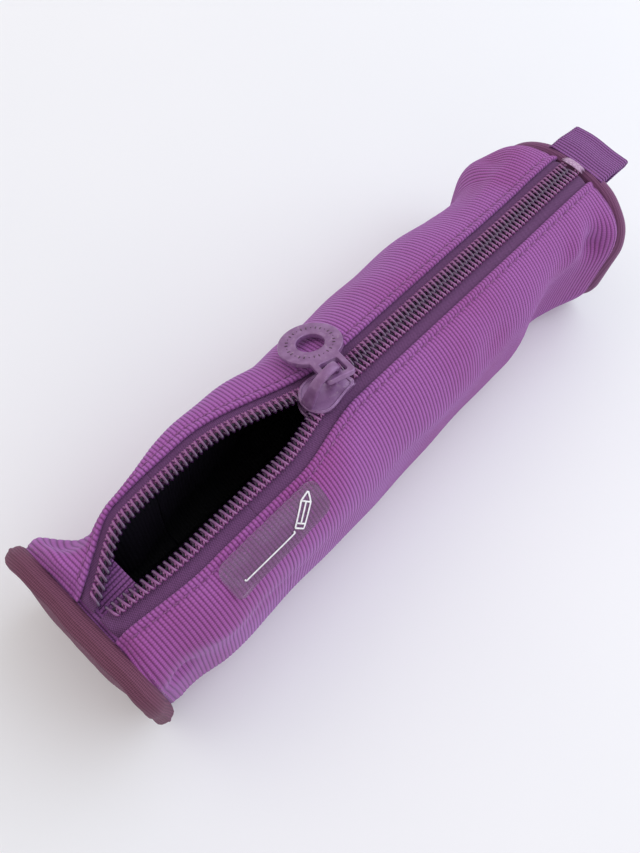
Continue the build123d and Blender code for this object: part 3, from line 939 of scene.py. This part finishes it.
def film_piece():
    """The film: a rounded rectangle, its upper edge and its near lower corner a little lifted."""
    length = label_high[0] - label_low[0]
    middle, half = sum(LABEL_ARCS) / 2, (LABEL_ARCS[1] - LABEL_ARCS[0]) / 2
    ends = LABEL_CORNER * (1 - np.cos(np.linspace(0, math.pi / 2, 9)))
    along = np.concatenate([ends[:-1], np.linspace(LABEL_CORNER, length - LABEL_CORNER, 56),
                            length - ends[::-1][1:]])
    near = np.minimum(along, length - along)
    cut = np.where(near < LABEL_CORNER, LABEL_CORNER
                   - np.sqrt(np.maximum(LABEL_CORNER ** 2 - (LABEL_CORNER - near) ** 2, 0)), 0)
    v = np.linspace(-1, 1, 25)
    reach = np.maximum(half - cut, 0.05)[:, None]
    x = np.repeat((label_low[0] + along)[:, None], 25, axis=1)
    arc = middle + v * reach
    lift = 0.45 * smooth((-v - 0.86) / 0.14) * np.ones_like(x)
    corner = np.hypot(x - label_low[0] - 1.5, arc - LABEL_ARCS[1] + 1.5)
    lift = lift + 0.55 * (1 - smooth(corner / 5.0))
    lift = lift + 0.05 * np.sin(x * 0.9) * np.sin(arc * 0.7)
    top = label_patch.at(x, arc, FILM_TOP + lift)
    under = label_patch.at(x, arc, FILM_BASE + lift)
    grid = np.concatenate([top, under[:, ::-1]], axis=1)
    spot = np.stack([x, arc, np.zeros_like(x)], axis=2)
    piece = loop_piece("label_film", grid, np.concatenate([spot, spot[:, ::-1]], axis=1), film)
    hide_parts("clear_label")
    follow(piece)


def strokes(name, lines, width, material, node):
    """Printed lines: each is a list of (x, arc) points in the label's own millimetres."""
    points, faces, caps, base = [], [], [], 0
    for line in lines:
        line = np.asarray(line, float)
        run = run_along(line)
        even = np.linspace(0, run[-1], max(3, int(run[-1] / 0.5)))
        path = np.stack([np.interp(even, run, line[:, k]) for k in (0, 1)], axis=1)
        ahead = unit(np.gradient(path, axis=0))
        side = np.stack([-ahead[:, 1], ahead[:, 0]], axis=1) * width / 2
        rings = [(path + side, FILM_TOP + 0.03), (path - side, FILM_TOP + 0.03),
                 (path - side, FILM_TOP + 0.11), (path + side, FILM_TOP + 0.11)]
        grid = np.stack([label_patch.at(label_low[0] + ring[:, 0], LABEL_ARCS[0] + ring[:, 1],
                                        np.full(len(ring), rise)) for ring, rise in rings], axis=1)
        quad, cap = loop_faces(len(path), 4)
        points.append(grid.reshape(-1, 3))
        faces.append(quad + base)
        caps.append(np.asarray(cap) + base)
        base += len(path) * 4
    points = np.concatenate(points)
    piece = make_piece(name, points, [np.concatenate(faces + caps)], np.zeros(points.shape),
                       material)
    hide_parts(node)
    follow(piece)


def turned(points, centre, degrees):
    c, s = math.cos(math.radians(degrees)), math.sin(math.radians(degrees))
    return [(centre[0] + x * c - y * s, centre[1] + x * s + y * c) for x, y in points]


def label_lines():
    """A plain pencil and a line to write a name on."""
    body = [(-4.6, -1.3), (2.0, -1.3), (4.6, 0.0), (2.0, 1.3), (-4.6, 1.3), (-4.6, -1.3)]
    collar = [(2.0, -1.3), (2.0, 1.3)]
    band = [(-3.4, -1.3), (-3.4, 1.3)]
    seam = [(-3.4, 0.0), (2.0, 0.0)]
    pencil = [turned(line, (24.6, 4.6), -38) for line in (body, collar, band, seam)]
    name_line = [(4.0, 7.4), (19.5, 7.4)]
    ticks = [[(x, 7.4), (x, 6.8)] for x in (4.0, 19.5)]
    return pencil + [name_line] + ticks


film_piece()
strokes("label_drawing", label_lines(), 0.42, white_ink, "label_print")

# ---------------------------------------------------------------- hanging loop, stitches, tack


def hanging_loop():
    """Grosgrain folded in two at its tip, both ends sewn into the far seam."""
    low, high = node_box("webbing_loop")
    width, tip = high[1] - low[1], high[0] + 0.4
    pivot = HINGES["loop_flex"]
    root, fold, steps = FAR_SEAM + 1.2, 0.95, 100
    angle = np.radians(np.linspace(90, -90, 15))
    centre_x = tip - fold - 0.45
    upper = np.linspace(root, centre_x, steps)
    path_x = np.concatenate([upper, centre_x + fold * np.cos(angle), upper[::-1]])
    path_z = np.concatenate([np.full(steps, fold), fold * np.sin(angle), np.full(steps, -fold)])
    spread = 0.8 * smooth((centre_x - 2 - path_x) / 8)
    path_z = path_z + spread * np.sign(path_z)
    run = np.concatenate([[0], np.cumsum(np.hypot(np.diff(path_x), np.diff(path_z)))])
    out_x, out_z = -np.gradient(path_z), np.gradient(path_x)
    size = np.hypot(out_x, out_z)
    out_x, out_z = out_x / size, out_z / size
    rib = 0.24 * (np.sqrt(np.abs(np.sin(np.pi * run / RIB))) - 0.5)
    loop_x = np.concatenate([path_x + out_x * (0.45 + rib), (path_x - out_x * 0.4)[::-1]])
    loop_z = np.concatenate([path_z + out_z * (0.45 + rib), (path_z - out_z * 0.4)[::-1]])
    across = np.linspace(-width / 2, width / 2, 96)
    edge = smooth((np.abs(across) - width / 2 + 0.6) / 0.6)
    grid = np.empty((len(across), len(loop_x), 3))
    drop = -0.16 * (loop_x - pivot[0]) * (loop_x > pivot[0])
    grid[:, :, 0] = loop_x + 0.25 * np.sin(across * 0.4)[:, None] * smooth((loop_x - root) / 6)
    grid[:, :, 1] = across[:, None] + 0.06 * np.sign(across)[:, None] * np.sin(
        np.concatenate([run, run[::-1]]) * 2 * np.pi / RIB)
    grid[:, :, 2] = (pivot[2] - 0.2 + drop + loop_z * (1 - 0.25 * edge[:, None])
                     + 0.35 * np.cos(across * 0.21)[:, None])
    weave = np.stack([np.broadcast_to(np.concatenate([run, run[::-1]]) / RIB, grid.shape[:2]),
                      grid[:, :, 1], np.zeros(grid.shape[:2])], axis=2)
    piece = loop_piece("hanging_webbing", grid, weave, webbing_weave)
    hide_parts("webbing_loop")
    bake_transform(piece)


def bar_tack():
    """Close pale threads over the far ends of the coils."""
    low, high = node_box("loop_bar_tack")
    jitter = np.random.default_rng(3)
    count, reach = 7, 3.4
    xs = np.linspace(low[0] + 0.2, high[0] + 0.6, count)
    top = crown(xs) + 0.55
    starts = np.column_stack([xs, jitter.uniform(-0.4, 0.4, count) - reach, top])
    ends = np.column_stack([xs + jitter.uniform(-0.2, 0.2, count),
                            jitter.uniform(-0.4, 0.4, count) + reach, top])
    piece = capsules("zip_end_tack", starts, ends, np.tile([0, 0, 0.35], (count, 1)), 0.2,
                     pale_thread)
    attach(piece, "case")
    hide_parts("loop_bar_tack")


def seam_stitches(side, part):
    """Stitches sunk beside an end seam, round one half of the case."""
    x = NEAR_SEAM + 1.5 if part == "near" else FAR_SEAM - 1.2
    arcs = np.arange(FOLD[side] + 3, NOMINAL_ARC - 16, 3.0)
    xs = np.array([x - 0.5, x, x + 0.5])  # shell needs neighbours to know which way is out
    first = shell(xs, side, arcs, np.zeros(len(arcs)))[1]
    last = shell(xs, side, arcs + 2.1, np.zeros(len(arcs)))[1]
    name = f"{SIDE_NAME[side]}_seam_stitches_{part}"
    piece = capsules(name, first, last, np.zeros((len(arcs), 3)), 0.18, purple_thread)
    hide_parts(f"{part}_seam_stitching")
    if part == "near":
        follow(piece)
    else:
        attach(piece, "case")


hanging_loop()
bar_tack()
for side, part in lip_parts():
    seam_stitches(side, part)

# ---------------------------------------------------------------- slider and pull tab


def cut_plate(name, outlines, thickness, edge, material):
    """A flat plate with eased edges from closed outlines in its own plane: the first is its rim,
    and the others are holes."""
    curve = bpy.data.curves.new(name, "CURVE")
    curve.dimensions, curve.fill_mode = "2D", "BOTH"
    curve.extrude = (thickness / 2 - edge) * MM
    curve.bevel_depth, curve.bevel_resolution = edge * MM, 3
    curve.offset = -edge * MM
    for outline in outlines:
        spline = curve.splines.new("POLY")
        spline.points.add(len(outline) - 1)
        for point, (x, y) in zip(spline.points, outline):
            point.co = (x * MM, y * MM, 0, 1)
        spline.use_cyclic_u = True
    holder = bpy.data.objects.new(name + "_curve", curve)
    bpy.context.scene.collection.objects.link(holder)
    bpy.context.view_layer.update()
    mesh = bpy.data.meshes.new_from_object(holder)
    bpy.data.objects.remove(holder)
    bpy.data.curves.remove(curve)
    mesh.name = name
    mesh.materials.clear()
    mesh.materials.append(material)
    mesh.polygons.foreach_set("use_smooth", np.ones(len(mesh.polygons), bool))
    mesh.set_sharp_from_angle(angle=math.radians(35))
    obj = bpy.data.objects.new(name, mesh)
    bpy.context.scene.collection.objects.link(obj)
    return obj


def arc_points(centre, radius, start, end, count):
    turn = np.radians(np.linspace(start, end, count))
    return [(centre[0] + radius * math.cos(t), centre[1] + radius * math.sin(t)) for t in turn]


TAB_THICKNESS, RING_RADIUS, RING_HOLE, RING_DISTANCE = 1.5, 8.2, 3.6, 12.4
WINDOW_BACK, WINDOW_FRONT, WINDOW_HALF, NECK_RIM = -1.9, 3.5, 2.5, 1.5
WINDOW_CORNER = 0.6
DASHES, DASH_CIRCLE, LONG_DASH, SHORT_DASH = 30, 5.95, 0.9, 0.2
swivel = next(j for j in frame["joints"] if j["name"] == "pull_tab_swivel")
tab_normal = Vector(swivel["axis"]).normalized()
tab_pivot = Vector(swivel["pos_m"])
flat_part = math.hypot(tab_normal.x, tab_normal.y)
tab_along = Vector((tab_normal.x / flat_part * tab_normal.z,
                    tab_normal.y / flat_part * tab_normal.z, -flat_part))
tab_across = tab_normal.cross(tab_along)
tab_turn = Matrix((tab_along, tab_across, tab_normal)).transposed().to_4x4()
TAB_PLACE = Matrix.Translation(tab_pivot) @ tab_turn


def pull_tab():
    """The ring on its windowed neck, with a rim of small raised dashes."""
    half = WINDOW_HALF + NECK_RIM
    meet = math.degrees(math.asin(half / RING_RADIUS))
    back, corner = WINDOW_BACK - NECK_RIM, 1.2
    neck = RING_DISTANCE - RING_RADIUS * math.cos(math.radians(meet)) - 1.6
    rim = arc_points((RING_DISTANCE, 0), RING_RADIUS, meet - 180, 180 - meet, 72)
    rim += [(neck, half)]
    rim += arc_points((back + corner, half - corner), corner, 90, 180, 7)
    rim += arc_points((back + corner, corner - half), corner, 180, 270, 7)
    rim += [(neck, -half)]
    window = []
    for cx, cy, start in ((WINDOW_FRONT, WINDOW_HALF, 0), (WINDOW_BACK, WINDOW_HALF, 90),
                          (WINDOW_BACK, -WINDOW_HALF, 180), (WINDOW_FRONT, -WINDOW_HALF, 270)):
        inner = (cx - WINDOW_CORNER * math.copysign(1, cx),
                 cy - WINDOW_CORNER * math.copysign(1, cy))
        window += arc_points(inner, WINDOW_CORNER, start, start + 90, 5)
    hole = arc_points((RING_DISTANCE, 0), RING_HOLE, 0, 354, 60)
    ring = cut_plate("pull_ring", [rim, window, hole], TAB_THICKNESS, 0.32, metal)
    ring.data.transform(TAB_PLACE)
    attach(ring, "pull_tab")
    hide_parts("pull_tab")
    starts, ends = [], []
    for k in range(DASHES):
        turn = math.radians(360 / DASHES * (k + 0.5))
        length = LONG_DASH if k % 3 else SHORT_DASH
        spot = np.array([RING_DISTANCE + DASH_CIRCLE * math.cos(turn),
                         DASH_CIRCLE * math.sin(turn)])
        out = np.array([math.cos(turn), math.sin(turn)]) * length
        starts.append([*(spot - out * 0.5), TAB_THICKNESS / 2])
        ends.append([*(spot + out * 0.5), TAB_THICKNESS / 2])
    # the dashes are coloured dark as painted shade of engraved marks
    dashes = capsules("ring_dashes", np.array(starts), np.array(ends),
                      np.zeros((DASHES, 3)), 0.17, engraving_shade_metal)
    dashes.data.transform(TAB_PLACE)
    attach(dashes, "pull_tab")


# The slider's plates: underside, thickness, and size against the outline
SLIDER_PLATES = {"slider_top_plate": (50.95, 1.0, 1.0), "slider_bottom_plate": (47.2, 0.9, 0.98)}
SLIDER_REAR_HALF, RIM_RISE, FLANGE_MIDDLE = 4.1, 51.93, 49.75
POST_LOW, POST_HIGH, POST_RINGS = 47.9, 51.1, 5
BRIDGE_STEPS, BRIDGE_SIDES = 60, 20


def slider():
    """Two heart-shaped plates joined at the nose, with a raised rim, flanges and the bridge."""
    nose, rear = slider_low[0], slider_high[0]
    half, rear_half = (slider_high[1] - slider_low[1]) / 2, SLIDER_REAR_HALF
    front = nose + half
    turn = np.linspace(0.5 * math.pi, 1.5 * math.pi, 33)
    outline = [(front + half * math.cos(t), half * math.sin(t)) for t in turn]
    waist = [(front + 1.4, half - 0.05), (rear - 5.2, half - 0.45), (rear - 3.2, rear_half),
             (rear - 0.8, rear_half), (rear, rear_half - 0.8)]
    outline += [(x, -y) for x, y in waist] + waist[::-1]
    plates = []
    for name, (base, thickness, scale) in SLIDER_PLATES.items():
        plate = cut_plate(name, [[(nose + (x - nose) * scale, y * scale) for x, y in outline]],
                          thickness, 0.28, metal)
        plate.data.transform(Matrix.Translation((0, 0, (base + thickness / 2) * MM)))
        plates.append(plate)
    ridge = np.array([(front + (x - front) * 0.9, y * 0.9) for x, y in outline])
    ridge = np.column_stack([ridge, np.full(len(ridge), RIM_RISE)])
    ring = tube(np.concatenate([ridge[-2:], ridge, ridge[:2]]), 0.26, 8)[2:-2]
    plates.append(make_piece("slider_rim", ring, ring_faces(*ring.shape[:2]),
                             np.zeros(ring.shape), metal))
    top = slider_high[2]
    path = np.array([(nose + 0.9, 51.2), (nose + 1.15, 53.0), (nose + 1.9, 55.2),
                     (nose + 3.4, top - 2.6), (nose + 5.2, top - 1.15), (nose + 7.2, top - 0.75),
                     (nose + 8.8, top - 0.85), (nose + 9.75, top - 1.6), (nose + 10.0, top - 3.0),
                     (nose + 10.0, 55.0), (nose + 10.0, 51.4)])
    run = run_along(path)
    even = np.linspace(0, run[-1], BRIDGE_STEPS)
    line = np.column_stack([track(even, np.column_stack([run, path[:, 0]])),
                            track(even, np.column_stack([run, path[:, 1]]))])
    ahead = unit(np.gradient(line, axis=0))
    share = even / run[-1]
    wide = 1.75 - 0.55 * smooth(share * 2.2)
    thick = 0.72 + 0.05 * np.cos(share * 9)
    angle = np.linspace(0, 2 * math.pi, BRIDGE_SIDES, endpoint=False)
    round_y = np.sign(np.cos(angle)) * np.abs(np.cos(angle)) ** 0.55
    round_n = np.sign(np.sin(angle)) * np.abs(np.sin(angle)) ** 0.55
    strap = np.empty((BRIDGE_STEPS, BRIDGE_SIDES, 3))
    strap[:, :, 0] = line[:, :1] - ahead[:, 1:] * thick[:, None] * round_n
    strap[:, :, 1] = wide[:, None] * round_y
    strap[:, :, 2] = line[:, 1:] + ahead[:, :1] * thick[:, None] * round_n
    plates.append(loop_piece("slider_bridge", strap, np.zeros(strap.shape), metal, flip=True))
    heights = np.linspace(POST_LOW, POST_HIGH, POST_RINGS)
    post = tube(np.column_stack([np.full(POST_RINGS, nose + 0.9), np.zeros(POST_RINGS), heights]),
                0.34, 10)
    plates.append(loop_piece("slider_post", post, np.zeros(post.shape), metal))
    for side in (LEFT, RIGHT):
        flange = cut_plate(f"slider_flange_{SIDE_NAME[side]}",
                           [[(rear - 6, 0), (rear, 0), (rear, 1.25), (rear - 6, 1.25)]], 0.5,
                           0.14, metal)
        upright = Matrix.Rotation(math.radians(90), 4, "X")
        place = Matrix.Translation((0, side * (rear_half - 0.26) * MM, FLANGE_MIDDLE * MM))
        flange.data.transform(place @ upright)
        plates.append(flange)
    for plate in plates:
        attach(plate, "slider")
        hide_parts("slider_body")


pull_tab()
slider()

# ---------------------------------------------------------------- stage, light and camera

def area_light(name, place, target, size, power, colour):
    lamp = bpy.data.lights.new(name, "AREA")
    lamp.shape, lamp.size, lamp.size_y = "RECTANGLE", size[0], size[1]
    lamp.energy, lamp.color = power, colour
    obj = bpy.data.objects.new(name, lamp)
    obj.location = place
    obj.rotation_euler = (Vector(target) - Vector(place)).to_track_quat("-Z", "Y").to_euler()
    bpy.context.scene.collection.objects.link(obj)


def build_stage():
    floor_look = Shader("pale_floor", 0.55)
    floor_look.colour(floor_look.ramp(floor_look.noise(3, 3), (0.3, rgb(236, 237, 241)),
                                      (0.7, rgb(243, 243, 246))))
    mesh = bpy.data.meshes.new("floor")
    reach = 3.0
    mesh.from_pydata([(-reach, -reach, 0), (reach, -reach, 0), (reach, reach, 0),
                      (-reach, reach, 0)], [], [(0, 1, 2, 3)])
    mesh.materials.append(floor_look.material)
    floor = bpy.data.objects.new("floor", mesh)
    bpy.context.scene.collection.objects.link(floor)
    world = bpy.data.worlds.new("studio")
    world.use_nodes = True
    world.node_tree.nodes["Background"].inputs[0].default_value = (1.0, 0.965, 0.94, 1)
    world.node_tree.nodes["Background"].inputs[1].default_value = 0.70
    bpy.context.scene.world = world
    area_light("window", (0.75, -0.35, 0.8), (0, 0, 0.03), (1.5, 1.5), 9.5, (0.78, 0.87, 1.0))
    area_light("room", (-0.35, 0.75, 0.8), (0, 0, 0.03), (0.9, 0.9), 2.0, (1.0, 0.95, 0.9))
    bpy.context.scene.view_settings.view_transform = "Standard"


def build_camera():
    """Looks down along the case from beyond its near end."""
    forward = Vector((0.350, 0.236, -0.907)).normalized()
    right = Vector((0.685, -0.724, 0.077))
    right = (right - forward * right.dot(forward)).normalized()
    up = right.cross(forward)
    lens = bpy.data.cameras.new("camera")
    lens.sensor_width, lens.lens = 36.0, 33.8
    lens.clip_start, lens.clip_end = 0.01, 20
    camera = bpy.data.objects.new("camera", lens)
    turn = Matrix((right, up, -forward)).transposed().to_4x4()
    camera.matrix_world = Matrix.Translation(Vector((-0.0909, -0.0505, 0.2228))) @ turn
    bpy.context.scene.collection.objects.link(camera)
    bpy.context.scene.camera = camera


build_stage()
build_camera()
bpy.context.view_layer.update()
